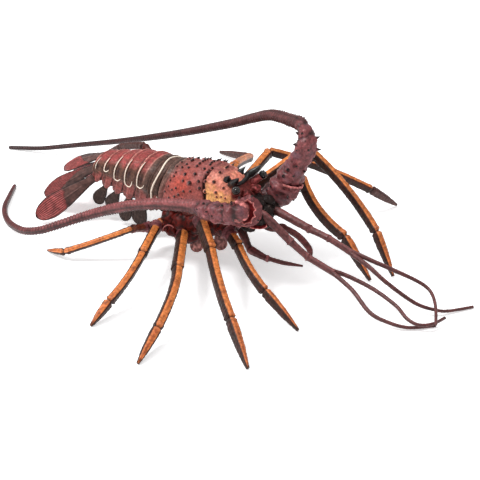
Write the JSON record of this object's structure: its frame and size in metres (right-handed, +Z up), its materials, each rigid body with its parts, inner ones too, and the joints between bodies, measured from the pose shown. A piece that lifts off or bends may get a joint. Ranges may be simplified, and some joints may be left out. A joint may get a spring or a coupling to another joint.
{
  "type": "toy spiny lobster figure",
  "caption": "Painted plastic toy figure of a spiny lobster standing on its leg tips, with long curved feelers, a banded tail and an open tail fan.",
  "frame": {"origin": "middle of the box around the figure, at the height of the leg tips that it stands on", "axes": "+X towards the head, +Y to the animal's left side, +Z up"},
  "size_m": [0.3004, 0.1968, 0.072],
  "materials": {
    "shell": "painted soft plastic, dusty red with dark bands",
    "feelers": "painted soft plastic, dull purple-red",
    "legs": "painted soft plastic, orange with near-black flanks",
    "dark": "painted soft plastic, dark grey-brown",
    "eyes": "gloss black paint"
  },
  "bodies": {
    "root": {"carapace": "shell", "abdomen": "shell", "telson": "shell", "tail_inner_left": "shell", "tail_inner_right": "shell", "tail_outer_left": "shell", "tail_outer_right": "shell", "antenna_left": "feelers", "antenna_right": "feelers", "feeler_left": "feelers", "feeler_right": "feelers", "jaw_leg_left": "feelers", "jaw_leg_right": "feelers", "eye_left": "eyes", "eye_right": "eyes", "leg_left_1": "legs", "leg_left_2": "legs", "leg_left_3": "legs", "leg_left_4": "legs", "leg_left_5": "legs", "leg_right_1": "legs", "leg_right_2": "legs", "leg_right_3": "legs", "leg_right_4": "legs", "leg_right_5": "legs", "belly_flap_left": "dark", "belly_flap_right": "dark", "swimmeret_left_1": "dark", "swimmeret_left_2": "dark", "swimmeret_left_3": "dark", "swimmeret_left_4": "dark", "swimmeret_right_1": "dark", "swimmeret_right_2": "dark", "swimmeret_right_3": "dark", "swimmeret_right_4": "dark"}
  },
  "joints": []
}
